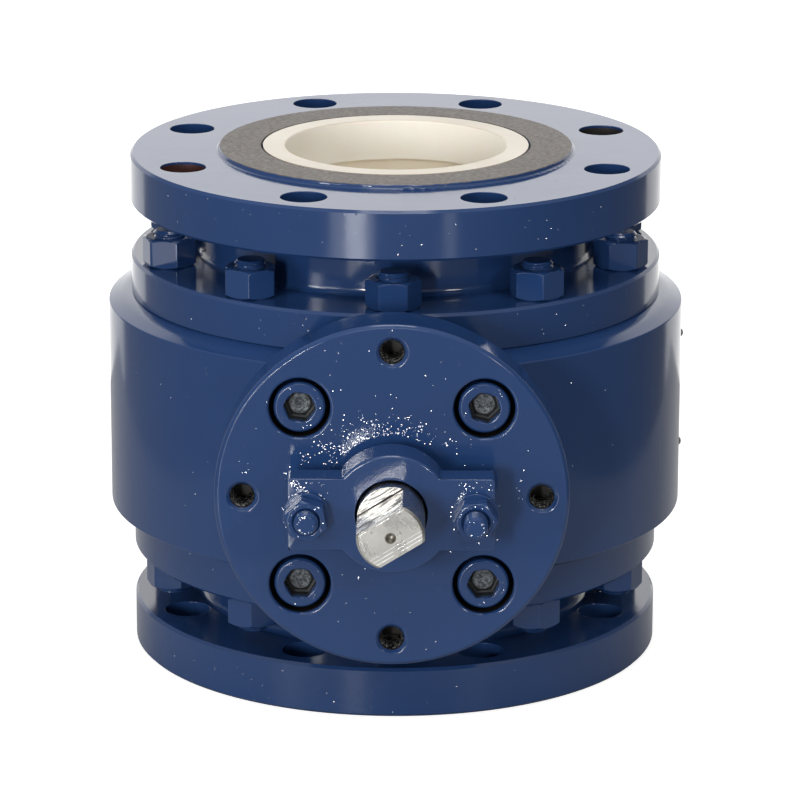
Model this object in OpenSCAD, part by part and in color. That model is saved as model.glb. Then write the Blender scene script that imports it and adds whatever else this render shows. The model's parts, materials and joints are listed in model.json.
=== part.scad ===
// Quarter-turn ball valve lined with ceramic, bolted up from a body and two flanged end caps.
// The flow bore stands along Z. The stem points along -Y.
// The origin is the centre of the lower sealing face.

/* [Pipe ends] */
// Gap between the two flanges of an end cap, for the nuts of the body and of the pipe
neck_gap = 23; // [22:0.5:34]
// Width of a pipe flange outside its bolt circle
flange_rim = 17.75; // [16:0.25:22]
// Thickness of a pipe flange without its raised face
flange_t = 22; // [18:0.5:25]
// Bevel round the rims of the flanges
rim_bevel = 1.2; // [0.4:0.2:2]
// Width of the bare raised face outside the face ring
raised_w = 19.6; // [16:0.2:22]
// Height of the raised face
raised_h = 2; // [1:0.5:3]
// Bevel round the raised face
raised_edge = 0.5; // [0.25:0.25:0.75]
// Fillet at the foot of the raised face
raised_fillet = 1.5; // [0.5:0.25:2.5]
// Distance from the raised face to the pipe bolt circle
bolt_land = 21.5; // [20:0.5:25]
// Diameter of the pipe bolt holes
pipe_bolt_hole = 20; // [17:0.5:22]
// Number of pipe bolt holes
pipe_bolts = 8; // [4, 8, 12]
// Bore through the face rings, the seats and the ball
port_d = 98; // [92:0.5:100]

/* [End caps] */
// Width of the flange that bolts to the body, outside its stud circle
stud_rim = 13.5; // [12:0.25:16]
// Thickness of that flange
cap_flange_t = 17.5; // [15:0.5:20]
// Wall of the neck round the seat
neck_wall = 18.5; // [15:0.5:19]
// Fillet at both ends of the neck
neck_fillet = 3; // [1:0.5:4]
// Distance from the spigot's rim to the stud circle
stud_land = 14.25; // [13:0.25:16]
// Diameter of the body studs
stud_d = 14; // [12:0.5:15]
// Number of body studs at each end
stud_count = 10; // [8:1:12]
// Depth of a body stud in the body
stud_depth = 20; // [16:1:24]
// Depth of a blind hole beyond the end of its stud or screw
blind_end = 2; // [1:0.5:4]
// Bevel at the ends of studs and screws
thread_bevel = 1.3; // [0.8:0.1:2]
// Length of a body stud beyond its nut
stud_tip = 3; // [1:0.5:5]
// Width across the flats of a body nut
nut_af = 21; // [19:0.5:22]
// Width of the edge between a nut's round face and its flats
nut_face_edge = 0.3; // [0.1:0.05:0.6]
// Largest angle by which a tightened nut stands askew
nut_scatter = 9; // [0:1:30]
// Height of a body nut
nut_h = 12.8; // [10:0.2:14]
// Height of the spigot that centres a cap in the body
spigot_h = 3; // [2:0.5:4]
// Width of the ledge under a cap gasket, outside the liner
gasket_ledge = 4; // [3:0.5:6]
// Thickness of a cap gasket
cap_gasket_t = 2; // [1:0.25:3]

/* [Body] */
// Width of the body's sloping shoulder, outside the cap flange
shoulder_w = 10.25; // [7:0.25:13]
// Drop of the sloping shoulder from the cap flange to the body's rim
shoulder_drop = 3.9; // [2:0.1:6]
// Step from the mounting flange's rim in to the boss behind it
boss_step = 4.25; // [2:0.25:6]
// Height of the boss's face above the round of the body
boss_rise = 10; // [8:0.5:14]
// Thickness of the boss where it stands clear of the shoulders
boss_t = 17; // [12:0.5:18]

/* [Ceramic trim] */
// Diameter of the ball
ball_d = 150; // [148:0.5:153]
// Gap between the ball and the body liner
ball_gap = 1.5; // [1:0.1:2.5]
// Wall of the body liner
liner_wall = 9.5; // [7:0.5:11]
// Gap round the stem in the body liner
liner_clear = 2; // [1:0.25:3]
// Width of the lapped band where a seat meets the ball
seat_band = 6; // [4:0.5:8]
// Width of a seat round the port
seat_w = 19; // [16:0.5:21]
// Length of a seat along the bore
seat_t = 17; // [14:0.5:19]
// Thickness of the load ring behind a seat
load_ring_t = 2; // [1:0.25:3]
// Step in from the seat's two rims to the load ring
load_ring_inset = 2; // [1:0.5:4]
// Width of a face ring round the port
face_ring_w = 9.9; // [7:0.1:10.5]
// Length of a face ring along the bore
face_ring_t = 18.6; // [14:0.2:22]
// Rounding of the bore's edge at a face ring
face_ring_round = 0.8; // [0.2:0.2:1.6]
// Open groove round a face ring at the sealing face
face_groove = 0.9; // [0.4:0.1:1.4]
// Depth of that groove
face_groove_depth = 4; // [2:0.5:6]
// Wall of a sleeve
sleeve_wall = 12.5; // [11:0.5:14]
// Step from the port out to the bore of a sleeve
sleeve_step = 1.5; // [0.5:0.25:2.5]

/* [Mounting flange] */
// Width of the mounting flange outside the tapped holes' circle
pad_rim = 11.75; // [9:0.25:13]
// Thickness of the mounting flange
pad_t = 21; // [20:0.5:23]
// Bevel round the front of the mounting flange
pad_bevel = 1.4; // [0.6:0.2:2]
// Circle of the tapped holes for an actuator
pad_circle = 125; // [122:0.5:127]
// Core diameter of the tapped holes
pad_hole = 10.2; // [8.5:0.1:11]
// Depth of the tapped holes
pad_hole_depth = 17; // [14:0.5:19]
// Mouth diameter of a tapped hole's countersink
pad_countersink = 13.4; // [12:0.1:14]
// Circle of the socket-head screws
screw_circle = 108.6; // [106:0.2:110]
// Thread diameter of those screws
screw_d = 14; // [12:0.5:14]
// Head diameter of those screws
screw_head_d = 21.6; // [20:0.2:22]
// Height of a screw head
screw_head_h = 13; // [11:0.5:14]
// Depth of a screw's thread in the boss
screw_depth = 18; // [14:1:20]
// Gap round a screw head in its counterbore
counterbore_gap = 2; // [1.5:0.1:2.4]
// Bevel round the mouth of a counterbore
counterbore_bevel = 0.8; // [0.4:0.2:1.4]
// Depth of a screw head's top below the mounting face
head_sink = 1.2; // [0.4:0.2:2]
// Width across the flats of a screw's socket
socket_af = 12; // [10:0.5:12]
// Depth of a screw's socket
socket_depth = 7; // [5:0.5:8]
// Bevel round a screw's socket
socket_bevel = 0.7; // [0.4:0.1:1]
// Bevel round the top of a screw's head
screw_head_bevel = 0.9; // [0.5:0.1:1.5]
// Diameter of the spigot on the back of the mounting flange
bonnet_spigot_d = 72; // [68:0.5:74]
// Length of that spigot
bonnet_spigot_h = 16.5; // [15:0.5:18]
// Thickness of the gasket under that spigot
bonnet_gasket_t = 1.5; // [1:0.25:2]

/* [Stem] */
// Diameter of the stem
stem_d = 28; // [26:0.5:29]
// Length of the stem beyond the gland flange
stem_out = 31.2; // [28:0.2:40]
// Width across the flats of the drive end
drive_af = 17; // [15:0.5:20]
// Length of the flats
drive_h = 25; // [20:0.5:27]
// Diameter of the centre hole in the stem's end
centre_d = 3.4; // [2:0.2:5]
// Bevel at the stem's end
stem_bevel = 1; // [0.4:0.2:2]
// Width of the collar that keeps the stem in
collar_w = 6.5; // [5:0.25:7]
// Thickness of the collar
collar_t = 8; // [5:0.5:10]
// Thickness of the washer that the collar turns against
thrust_t = 1.5; // [1:0.25:2]
// Thickness of the tang that turns the ball
tang_t = 14; // [11:0.5:16]
// Depth of the slot in the ball
slot_depth = 14; // [10:0.5:16]
// Room at each end of the tang in its slot
slot_end = 3; // [1:0.5:5]
// Wall of the bush round the stem
bush_wall = 8; // [7:0.25:9]
// How far the valve is open, 0 shut and 90 open
open_angle = 32; // [0:1:90]

/* [Gland] */
// Width of the packing round the stem
packing_w = 7; // [5:0.25:8]
// Depth of the stuffing box below the mounting face
box_depth = 32; // [30:0.5:33]
// Number of packing rings
ring_count = 4; // [3:1:4]
// Height of one packing ring
ring_pitch = 4; // [3.5:0.25:4.25]
// Height of the vee of the packing rings
vee_h = 2; // [1:0.25:2.5]
// Height of the lower packing adapter at its edges
adapter_low_h = 2.5; // [2:0.25:3]
// Height of the upper packing adapter at its edges
adapter_top_h = 4; // [3.5:0.25:4.5]
// Gap between the mounting face and the round middle of the gland flange
gland_gap = 6.3; // [4:0.1:8]
// Width of the gland flange's round middle outside the packing
gland_hub_w = 4.5; // [3:0.25:5.5]
// Thickness of the round middle
gland_hub_t = 18.5; // [16:0.5:20]
// Width of a wing outside its stud
gland_wing_rim = 7.9; // [7.5:0.1:11]
// Height of the wings
gland_wing_h = 30.8; // [28:0.2:34]
// Thickness of the wings
gland_wing_t = 13.4; // [11:0.2:15]
// Bevel round the front of the gland flange's middle
gland_bevel = 0.8; // [0.4:0.1:1.5]
// Corner radius of the wings
gland_corner = 1.5; // [0.5:0.25:4]
// Gap round the stem in the gland flange
gland_clear = 0.95; // [0.5:0.05:1.5]
// Distance from the stem's axis to a gland stud
gland_stud_reach = 34.8; // [34:0.1:35.5]
// Diameter of the gland studs
gland_stud_d = 10; // [8:0.5:10]
// Depth of a gland stud in the mounting flange
gland_stud_depth = 15; // [12:0.5:17]
// Length of the left gland stud beyond its nut
gland_tip_left = 4; // [2:0.5:8]
// Length of the right gland stud beyond its nut
gland_tip_right = 8; // [2:0.5:10]
// Diameter of the gland washers
gland_washer_d = 19.5; // [18:0.5:20]
// Thickness of the gland washers
gland_washer_t = 2; // [1.5:0.25:2.5]
// Width across the flats of the gland nuts
gland_nut_af = 16; // [15:0.5:17]
// Height of the gland nuts
gland_nut_h = 8.4; // [7:0.2:9]

/* [Clearances] */
// Fit of a piece that is pressed, glued or clamped in place, on the radius
seated_gap = 0.03; // [0.02:0.01:0.06]
// Running fit of the turning stem, on the radius
running_gap = 0.05; // [0.03:0.01:0.08]
// Gap between the ball and a seat
lapped_gap = 0.1; // [0.05:0.01:0.15]
// Room at the sides of the tang in its slot
tang_gap = 0.1; // [0.05:0.01:0.2]
// Play of the collar along the stem
collar_gap = 0.1; // [0.05:0.01:0.2]
// Clearance of a gland stud in its washer, on the radius
washer_gap = 0.3; // [0.1:0.05:0.5]
// Clearance of a stud or screw in a plain hole, on the radius
bolt_gap = 0.75; // [0.4:0.05:1]

/* [Hidden] */
$fn = 96;

// Extra length of a cutting shape beyond the face that it cuts
over = 1;
// Radius of the blank that a nut is turned from, in widths across its flats
nut_turning = 0.65;

// Radii about the flow bore, from the port outward
port_r = port_d / 2;
band_r = port_r + seat_band;
seat_r = port_r + seat_w;
sleeve_bore_r = port_r + sleeve_step;
sleeve_r = sleeve_bore_r + sleeve_wall;
face_ring_r = port_r + face_ring_w;
raised_r = face_ring_r + raised_w;
pipe_bolt_r = raised_r + bolt_land;
flange_r = pipe_bolt_r + flange_rim;
neck_r = seat_r + neck_wall;

// Radii about the flow bore, from the ball outward
ball_r = ball_d / 2;
cavity_r = ball_r + ball_gap;
liner_r = cavity_r + liner_wall;
spigot_r = liner_r + gasket_ledge;
stud_circle_r = spigot_r + stud_land;
cap_flange_r = stud_circle_r + stud_rim;
body_r = cap_flange_r + shoulder_w;

// Heights above the middle of the valve, from the ball out to the sealing face
seat_front_z = sqrt(pow(ball_r, 2) - pow(band_r, 2));
seat_back_z = seat_front_z + seat_t;
sleeve_low_z = seat_back_z + load_ring_t;
// The joint lies at the next whole millimetre below the front of the seat
joint_z = floor(seat_front_z);
ledge_z = joint_z - spigot_h - cap_gasket_t;
rim_z = joint_z - shoulder_drop;
cap_top_z = joint_z + cap_flange_t;
flange_back_z = cap_top_z + neck_gap;
flange_face_z = flange_back_z + flange_t;
mid_z = flange_face_z + raised_h;
ring_back_z = mid_z - face_ring_t;

// Distances from the flow bore's axis along the stem
boss_face = body_r + boss_rise;
pad_reach = boss_face + pad_t;
gland_back = pad_reach + gland_gap;
gland_reach = gland_back + gland_hub_t;
stem_reach = gland_reach + stem_out;
boss_back = boss_face - boss_t;
bonnet_end = boss_face - bonnet_spigot_h;
stem_ledge = bonnet_end - bonnet_gasket_t;
collar_top = bonnet_end - thrust_t - collar_gap;
collar_low = collar_top - collar_t;
slot_floor = ball_r - slot_depth;
slot_l = stem_d + 2 * slot_end;
tang_top = ball_r + 2 * ball_gap;
tang_end = slot_floor + 5 * collar_gap;
flats_low = stem_reach - drive_h;
box_floor = pad_reach - box_depth;
rings_low = box_floor + adapter_low_h;
rings_top = rings_low + ring_count * ring_pitch;
bush_low = rings_top + adapter_top_h;
wing_back = gland_reach - gland_wing_t;
gland_nut_low = gland_reach + gland_washer_t;
gland_nut_top = gland_nut_low + gland_nut_h;
counterbore_r = screw_head_d / 2 + counterbore_gap;
screw_seat = pad_reach - head_sink - screw_head_h;

// Radii about the stem
stem_r = stem_d / 2;
collar_r = stem_r + collar_w;
bush_r = stem_r + bush_wall;
box_r = stem_r + packing_w;
gland_hub_r = box_r + gland_hub_w;
gland_w = 2 * (gland_stud_reach + gland_wing_rim);
bonnet_spigot_r = bonnet_spigot_d / 2;
pad_circle_r = pad_circle / 2;
screw_circle_r = screw_circle / 2;
pad_r = pad_circle_r + pad_rim;
boss_r = pad_r - boss_step;

// Moves its children to the middle of the valve
module at_middle() {
    translate([0, 0, mid_z])
        children();
}

// The lower end is the upper one turned over
module lower_end() {
    at_middle()
        mirror([0, 0, 1])
            children();
}

// A frame at a distance toward the stem's end: x stays x, y becomes up, z points along the stem
module toward_stem(distance = 0) {
    at_middle()
        rotate([90, 0, 0])
            translate([0, 0, distance])
                children();
}

// Copies of its children at equal angles on a circle
module around(count, radius, first = 0) {
    for (i = [0 : count - 1])
        rotate(first + i * 360 / count)
            translate([radius, 0, 0])
                children();
}

// Plain ring
module ring(outer, inner, low, high) {
    rotate_extrude()
        translate([inner, low])
            square([outer - inner, high - low]);
}

// Quarter fillet in the corner at the origin, toward +x and +y
module fillet(radius) {
    difference() {
        square(radius);
        translate([radius, radius])
            circle(radius);
    }
}

// Half section of a disc with its rims bevelled
module bevelled_half(radius, low, high, bevel_low, bevel_high) {
    polygon([
        [0, low], [radius - bevel_low, low], [radius, low + bevel_low],
        [radius, high - bevel_high], [radius - bevel_high, high], [0, high]
    ]);
}

// Rod along z with bevelled ends
module rod(radius, low, high, bevel) {
    rotate_extrude()
        bevelled_half(radius, low, high, bevel, bevel);
}

// Hexagon nut with both faces turned down at 30 degrees
module hex_nut(flats, height, bore) {
    face_r = flats / 2 - nut_face_edge;
    outer_r = flats * nut_turning;
    drop = (outer_r - face_r) * tan(30);
    difference() {
        intersection() {
            cylinder(r = flats / sqrt(3), h = height, $fn = 6);
            rotate_extrude()
                polygon([
                    [0, 0], [face_r, 0], [outer_r, drop],
                    [outer_r, height - drop], [face_r, height], [0, height]
                ]);
        }
        translate([0, 0, -over])
            cylinder(r = bore, h = height + 2 * over);
    }
}

// Body

// Plain round body with a sloping shoulder at each end
module body_barrel() {
    rotate_extrude()
        polygon([
            [0, -joint_z], [cap_flange_r, -joint_z], [body_r, -rim_z],
            [body_r, rim_z], [cap_flange_r, joint_z], [0, joint_z]
        ]);
}

// Boss toward the stem: it stands clear of the shoulders and runs into the barrel between them
module body_boss() {
    root = liner_r;
    rotate([90, 0, 0])
        translate([0, 0, boss_back])
            cylinder(r = boss_r, h = boss_t);
    intersection() {
        rotate([90, 0, 0])
            translate([0, 0, root])
                cylinder(r = boss_r, h = boss_face - root);
        cube([4 * body_r, 4 * body_r, 2 * rim_z], center = true);
    }
}

// Liner bore and the counterbores for gasket and spigot
module body_bores() {
    cylinder(r = liner_r + seated_gap, h = 2 * joint_z + 2 * over, center = true);
    for (end = [0, 1])
        mirror([0, 0, end])
            translate([0, 0, ledge_z])
                cylinder(r = spigot_r + seated_gap, h = joint_z - ledge_z + over);
}

// Blind tapped holes for the body studs and for the screws of the mounting flange
module body_threads() {
    for (end = [0, 1])
        mirror([0, 0, end])
            around(stud_count, stud_circle_r, -90)
                translate([0, 0, joint_z - stud_depth - blind_end])
                    cylinder(r = stud_d / 2 + seated_gap, h = stud_depth + blind_end + over);
    rotate([90, 0, 0])
        around(4, screw_circle_r, 45)
            translate([0, 0, boss_face - screw_depth - blind_end])
                cylinder(r = screw_d / 2 + seated_gap, h = screw_depth + blind_end + over);
}

module body() {
    color("midnightblue")
        at_middle()
            difference() {
                union() {
                    body_barrel();
                    body_boss();
                }
                body_bores();
                body_threads();
                rotate([90, 0, 0]) {
                    cylinder(r = bush_r + seated_gap, h = pad_reach);
                    translate([0, 0, stem_ledge])
                        cylinder(r = bonnet_spigot_r + seated_gap, h = pad_reach);
                }
            }
}

// End caps

// Half section of an end cap without its bores
module cap_section() {
    bevelled_half(cap_flange_r, joint_z, cap_top_z, rim_bevel / 2, rim_bevel);
    bevelled_half(flange_r, flange_back_z, flange_face_z, rim_bevel, rim_bevel);
    translate([0, joint_z - spigot_h])
        square([spigot_r, spigot_h + over]);
    translate([0, cap_top_z - over])
        square([neck_r, flange_back_z - cap_top_z + 2 * over]);
    translate([neck_r, cap_top_z])
        fillet(neck_fillet);
    translate([neck_r, flange_back_z])
        mirror([0, 1])
            fillet(neck_fillet);
    polygon([
        [0, flange_face_z - over], [raised_r, flange_face_z - over], [raised_r, mid_z - raised_edge],
        [raised_r - raised_edge, mid_z], [0, mid_z]
    ]);
    translate([raised_r, flange_face_z])
        fillet(min(raised_fillet, raised_h - raised_edge));
}

// Pockets for the seat, the sleeve and the face ring
module cap_pockets() {
    translate([0, 0, joint_z - spigot_h - over])
        cylinder(r = seat_r + seated_gap, h = sleeve_low_z - joint_z + spigot_h + over);
    translate([0, 0, sleeve_low_z - over])
        cylinder(r = sleeve_r + seated_gap, h = ring_back_z - sleeve_low_z + over);
    translate([0, 0, ring_back_z - over])
        cylinder(r = face_ring_r + seated_gap, h = face_ring_t + 2 * over);
    translate([0, 0, mid_z - face_groove_depth])
        cylinder(r = face_ring_r + face_groove, h = face_groove_depth + over);
}

module end_cap() {
    difference() {
        rotate_extrude()
            cap_section();
        cap_pockets();
        around(pipe_bolts, pipe_bolt_r, 180 / pipe_bolts)
            translate([0, 0, flange_back_z - over])
                cylinder(r = pipe_bolt_hole / 2, h = flange_t + 2 * over);
        around(stud_count, stud_circle_r, -90)
            translate([0, 0, joint_z - over])
                cylinder(r = stud_d / 2 + bolt_gap, h = cap_flange_t + 2 * over);
    }
}

module top_end_cap() {
    color("midnightblue")
        at_middle()
            end_cap();
}

module bottom_end_cap() {
    color("midnightblue")
        lower_end()
            end_cap();
}

// Ceramic trim

// Ring round the ball, with a hole for the stem
module body_liner() {
    color("ivory")
        at_middle()
            difference() {
                ring(liner_r, cavity_r, -ledge_z, ledge_z);
                rotate([90, 0, 0])
                    cylinder(r = stem_r + liner_clear, h = 2 * liner_r);
            }
}

// Ring at the sealing face, its bore rounded at both ends
module face_ring() {
    soft = face_ring_round;
    rotate_extrude()
        difference() {
            translate([port_r, ring_back_z])
                square([face_ring_w, face_ring_t]);
            translate([port_r, mid_z])
                mirror([0, 1])
                    fillet_cut(soft);
            translate([port_r, ring_back_z])
                fillet_cut(soft);
        }
}

// What is cut away to round an edge at the origin, toward +x and +y
module fillet_cut(radius) {
    difference() {
        translate([-over, -over])
            square(radius + over);
        translate([radius, radius])
            circle(radius);
    }
}

module sleeve() {
    ring(sleeve_r, sleeve_bore_r, sleeve_low_z, ring_back_z);
}

// Seat ring, hollowed to the ball's own curve
module seat() {
    difference() {
        ring(seat_r, port_r, seat_front_z, seat_back_z);
        sphere(r = ball_r + lapped_gap);
    }
}

// Load ring behind the seat
module seat_ring() {
    ring(seat_r - load_ring_inset, port_r + load_ring_inset, seat_back_z, sleeve_low_z);
}

module cap_gasket() {
    ring(spigot_r - seated_gap, cavity_r, ledge_z, ledge_z + cap_gasket_t);
}

module top_face_ring() {
    color("ivory")
        at_middle()
            face_ring();
}

module bottom_face_ring() {
    color("ivory")
        lower_end()
            face_ring();
}

module top_sleeve() {
    color("antiquewhite")
        at_middle()
            sleeve();
}

module bottom_sleeve() {
    color("antiquewhite")
        lower_end()
            sleeve();
}

module top_seat() {
    color("ivory")
        at_middle()
            seat();
}

module bottom_seat() {
    color("ivory")
        lower_end()
            seat();
}

module top_seat_ring() {
    color("dimgray")
        at_middle()
            seat_ring();
}

module bottom_seat_ring() {
    color("dimgray")
        lower_end()
            seat_ring();
}

module top_cap_gasket() {
    color("gray")
        at_middle()
            cap_gasket();
}

module bottom_cap_gasket() {
    color("gray")
        lower_end()
            cap_gasket();
}

// Ball with its port and the slot for the tang, turned to the opening angle
module ball() {
    color("ivory")
        toward_stem()
            rotate(open_angle)
                difference() {
                    sphere(r = ball_r);
                    rotate([0, 90, 0])
                        cylinder(r = port_r, h = 2 * ball_d, center = true);
                    translate([-tang_t / 2 - tang_gap, -slot_l / 2, slot_floor])
                        cube([tang_t + 2 * tang_gap, slot_l, ball_d]);
                }
}

// Body studs and nuts

module studs() {
    around(stud_count, stud_circle_r, -90)
        rod(stud_d / 2, joint_z - stud_depth, cap_top_z + nut_h + stud_tip, thread_bevel);
}

// Each nut stopped at a slightly different angle when it was tightened
module nuts() {
    for (i = [0 : stud_count - 1])
        rotate(-90 + i * 360 / stud_count)
            translate([stud_circle_r, 0, cap_top_z])
                rotate(30 + nut_scatter * sin(i * 137))
                    hex_nut(nut_af, nut_h, stud_d / 2 + seated_gap);
}

module top_studs() {
    color("midnightblue")
        at_middle()
            studs();
}

module bottom_studs() {
    color("midnightblue")
        lower_end()
            studs();
}

module top_nuts() {
    color("midnightblue")
        at_middle()
            nuts();
}

module bottom_nuts() {
    color("midnightblue")
        lower_end()
            nuts();
}

// Stem and what guides it

module stem() {
    color("silver")
        toward_stem()
            rotate(open_angle)
                difference() {
                    union() {
                        rod(stem_r, collar_low, stem_reach, stem_bevel);
                        rod(collar_r, collar_low, collar_top, stem_bevel / 2);
                        cylinder_between(stem_r, tang_end, collar_low + stem_bevel);
                    }
                    translate([0, 0, stem_reach - centre_d / 2])
                        cylinder(r1 = 0, r2 = centre_d / 2 + over, h = centre_d / 2 + over);
                    for (side = [-1, 1]) {
                        translate([0, side * drive_af, flats_low + stem_reach / 2])
                            cube([stem_reach, drive_af, stem_reach], center = true);
                        translate([side * tang_t, 0, tang_top - stem_reach / 2])
                            cube([tang_t, stem_reach, stem_reach], center = true);
                    }
                }
}

// Cylinder along z from one height to another
module cylinder_between(radius, low, high) {
    translate([0, 0, low])
        cylinder(r = radius, h = high - low);
}

module stem_bush() {
    color("antiquewhite")
        toward_stem()
            ring(bush_r, stem_r + running_gap, liner_r + seated_gap, collar_low - collar_gap);
}

module thrust_washer() {
    color("white")
        toward_stem()
            ring(collar_r, stem_r + 2 * running_gap, bonnet_end - thrust_t, bonnet_end);
}

module bonnet_gasket() {
    color("gray")
        toward_stem()
            ring(bonnet_spigot_r, bush_r + 2 * seated_gap, stem_ledge, bonnet_end);
}

// Mounting flange and its screws

module mounting_flange() {
    color("midnightblue")
        toward_stem()
            difference() {
                union() {
                    rotate_extrude()
                        bevelled_half(pad_r, boss_face, pad_reach, pad_bevel / 2, pad_bevel);
                    cylinder_between(bonnet_spigot_r, bonnet_end, boss_face + over);
                }
                cylinder_between(stem_r + running_gap, bonnet_end - over, pad_reach + over);
                cylinder_between(box_r + seated_gap, box_floor, pad_reach + over);
                around(4, screw_circle_r, 45) {
                    cylinder_between(screw_d / 2 + bolt_gap, boss_face - over, pad_reach + over);
                    cylinder_between(counterbore_r, screw_seat, pad_reach + over);
                    mouth(counterbore_r, counterbore_r + counterbore_bevel);
                }
                around(4, pad_circle_r) {
                    cylinder_between(pad_hole / 2, pad_reach - pad_hole_depth, pad_reach + over);
                    mouth(pad_hole / 2, pad_countersink / 2);
                }
                for (side = [-1, 1])
                    translate([side * gland_stud_reach, 0, 0])
                        cylinder_between(gland_stud_d / 2 + seated_gap,
                            pad_reach - gland_stud_depth - blind_end, pad_reach + over);
            }
}

// Bevelled mouth of a hole at the mounting face, from the hole's radius to a wider one
module mouth(hole, wide) {
    depth = wide - hole;
    translate([0, 0, pad_reach - depth])
        cylinder(r1 = hole, r2 = wide + over, h = depth + over);
}

// Socket-head screw with its head's top at the origin, thread toward -z
module socket_screw() {
    head_r = screw_head_d / 2;
    difference() {
        union() {
            rod(head_r, -screw_head_h, 0, screw_head_bevel);
            rod(screw_d / 2, boss_face - screw_depth - pad_reach + head_sink, -over, thread_bevel);
        }
        translate([0, 0, -socket_depth])
            cylinder(r = socket_af / sqrt(3), h = socket_depth + over, $fn = 6);
        translate([0, 0, -socket_bevel])
            cylinder(r1 = socket_af / 2, r2 = socket_af / 2 + 2 * socket_bevel, h = 2 * socket_bevel);
    }
}

module mounting_screws() {
    color("midnightblue")
        toward_stem(pad_reach - head_sink)
            for (i = [0 : 3])
                rotate(45 + i * 90)
                    translate([screw_circle_r, 0, 0])
                        rotate(i * 37)
                            socket_screw();
}

// Packing and gland

// Stack of chevron rings
module packing_rings() {
    inner = stem_r + running_gap;
    middle = (inner + box_r) / 2;
    height = ring_pitch - seated_gap;
    color("dimgray")
        toward_stem()
            for (i = [0 : ring_count - 1])
                translate([0, 0, rings_low + i * ring_pitch])
                    rotate_extrude()
                        polygon([
                            [inner, 0], [middle, vee_h], [box_r, 0],
                            [box_r, height], [middle, height + vee_h], [inner, height]
                        ]);
}

// Lower and upper adapter, flat on the outside and veed toward the rings
module packing_adapters() {
    inner = stem_r + running_gap;
    middle = (inner + box_r) / 2;
    color("lightgray")
        toward_stem()
            rotate_extrude() {
                polygon([
                    [inner, box_floor], [box_r, box_floor], [box_r, rings_low],
                    [middle, rings_low + vee_h], [inner, rings_low]
                ]);
                polygon([
                    [inner, rings_top], [middle, rings_top + vee_h], [box_r, rings_top],
                    [box_r, bush_low], [inner, bush_low]
                ]);
            }
}

module gland_bush() {
    color("darkgray")
        toward_stem()
            ring(box_r, stem_r + 2 * running_gap, bush_low, gland_back);
}

// Rectangle with rounded corners, centred
module rounded_bar(width, height, radius) {
    square([width - 2 * radius, height], center = true);
    square([width, height - 2 * radius], center = true);
    for (x = [-1, 1], y = [-1, 1])
        translate([x * (width / 2 - radius), y * (height / 2 - radius)])
            circle(radius);
}

module gland_flange() {
    color("midnightblue")
        toward_stem()
            difference() {
                union() {
                    rod(gland_hub_r, gland_back, gland_reach, gland_bevel);
                    translate([0, 0, wing_back])
                        linear_extrude(gland_wing_t)
                            rounded_bar(gland_w, gland_wing_h, gland_corner);
                }
                cylinder_between(stem_r + gland_clear, gland_back - over, gland_reach + over);
                for (side = [-1, 1])
                    translate([side * gland_stud_reach, 0, 0])
                        cylinder_between(gland_stud_d / 2 + bolt_gap, wing_back - over, gland_reach + over);
            }
}

module gland_studs() {
    low = pad_reach - gland_stud_depth;
    color("midnightblue")
        toward_stem() {
            translate([-gland_stud_reach, 0, 0])
                rod(gland_stud_d / 2, low, gland_nut_top + gland_tip_left, thread_bevel);
            translate([gland_stud_reach, 0, 0])
                rod(gland_stud_d / 2, low, gland_nut_top + gland_tip_right, thread_bevel);
        }
}

module gland_washers() {
    color("midnightblue")
        toward_stem()
            for (side = [-1, 1])
                translate([side * gland_stud_reach, 0, 0])
                    ring(gland_washer_d / 2, gland_stud_d / 2 + washer_gap, gland_reach, gland_nut_low);
}

module gland_nuts() {
    color("midnightblue")
        toward_stem(gland_nut_low)
            for (side = [-1, 1])
                translate([side * gland_stud_reach, 0, 0])
                    rotate(15 + side * nut_scatter)
                        hex_nut(gland_nut_af, gland_nut_h, gland_stud_d / 2 + seated_gap);
}

body();
top_end_cap();
bottom_end_cap();
body_liner();
top_face_ring();
bottom_face_ring();
top_sleeve();
bottom_sleeve();
top_seat();
bottom_seat();
top_seat_ring();
bottom_seat_ring();
top_cap_gasket();
bottom_cap_gasket();
top_studs();
bottom_studs();
top_nuts();
bottom_nuts();
ball();
stem();
stem_bush();
thrust_washer();
bonnet_gasket();
mounting_flange();
mounting_screws();
packing_rings();
packing_adapters();
gland_bush();
gland_flange();
gland_studs();
gland_washers();
gland_nuts();
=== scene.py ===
"""Looks for the ceramic-lined rotary valve: materials, threads, paint build-up, light and camera."""

import json
import math
import random

import bmesh
import bpy
from mathutils import Matrix, Vector


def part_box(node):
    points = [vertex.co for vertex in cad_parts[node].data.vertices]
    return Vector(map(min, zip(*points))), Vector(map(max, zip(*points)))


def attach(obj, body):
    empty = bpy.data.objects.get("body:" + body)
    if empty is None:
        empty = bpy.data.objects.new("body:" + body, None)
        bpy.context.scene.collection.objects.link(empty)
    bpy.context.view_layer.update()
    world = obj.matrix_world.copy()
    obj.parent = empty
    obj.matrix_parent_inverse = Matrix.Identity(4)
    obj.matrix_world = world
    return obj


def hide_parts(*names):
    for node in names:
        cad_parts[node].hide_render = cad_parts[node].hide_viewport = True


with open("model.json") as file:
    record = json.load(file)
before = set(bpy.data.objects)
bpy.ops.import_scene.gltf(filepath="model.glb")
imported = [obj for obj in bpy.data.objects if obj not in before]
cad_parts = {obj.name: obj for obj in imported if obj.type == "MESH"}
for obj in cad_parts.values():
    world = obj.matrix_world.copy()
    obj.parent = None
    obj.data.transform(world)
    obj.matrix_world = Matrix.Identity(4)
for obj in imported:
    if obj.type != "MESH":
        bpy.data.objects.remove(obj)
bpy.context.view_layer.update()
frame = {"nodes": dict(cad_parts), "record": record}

MM = 0.001
BODY = "valve_body"
nodes = frame["nodes"]

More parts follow.
